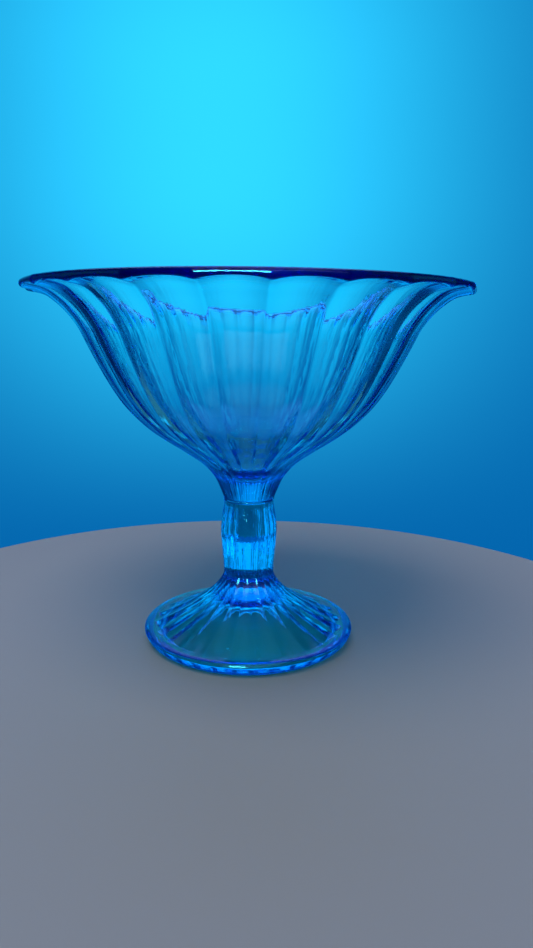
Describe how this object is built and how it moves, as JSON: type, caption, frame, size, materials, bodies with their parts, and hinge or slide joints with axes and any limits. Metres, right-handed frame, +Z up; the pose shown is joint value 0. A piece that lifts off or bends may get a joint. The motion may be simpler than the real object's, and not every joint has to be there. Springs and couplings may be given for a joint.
{
  "type": "footed compote bowl",
  "caption": "Clear blue pressed-glass compote: a wide flared, fluted bowl on a fluted barrel stem and a round spreading foot.",
  "frame": {"origin": "centre of the standing ring, on the table plane", "axes": "+Z up along the axis of the stem; -Y towards the camera of the picture, with the middle of one flute facing it"},
  "size_m": [0.1986, 0.1986, 0.168],
  "materials": {
    "bowl": "clear azure-blue pressed glass, fire polished",
    "joining_wafer": "clear azure-blue glass, fused",
    "stem": "clear azure-blue pressed glass, fire polished",
    "foot": "clear azure-blue pressed glass, fire polished"
  },
  "bodies": {
    "root": {"bowl": "bowl", "joining_wafer": "joining_wafer", "stem": "stem", "foot": "foot"}
  },
  "joints": []
}
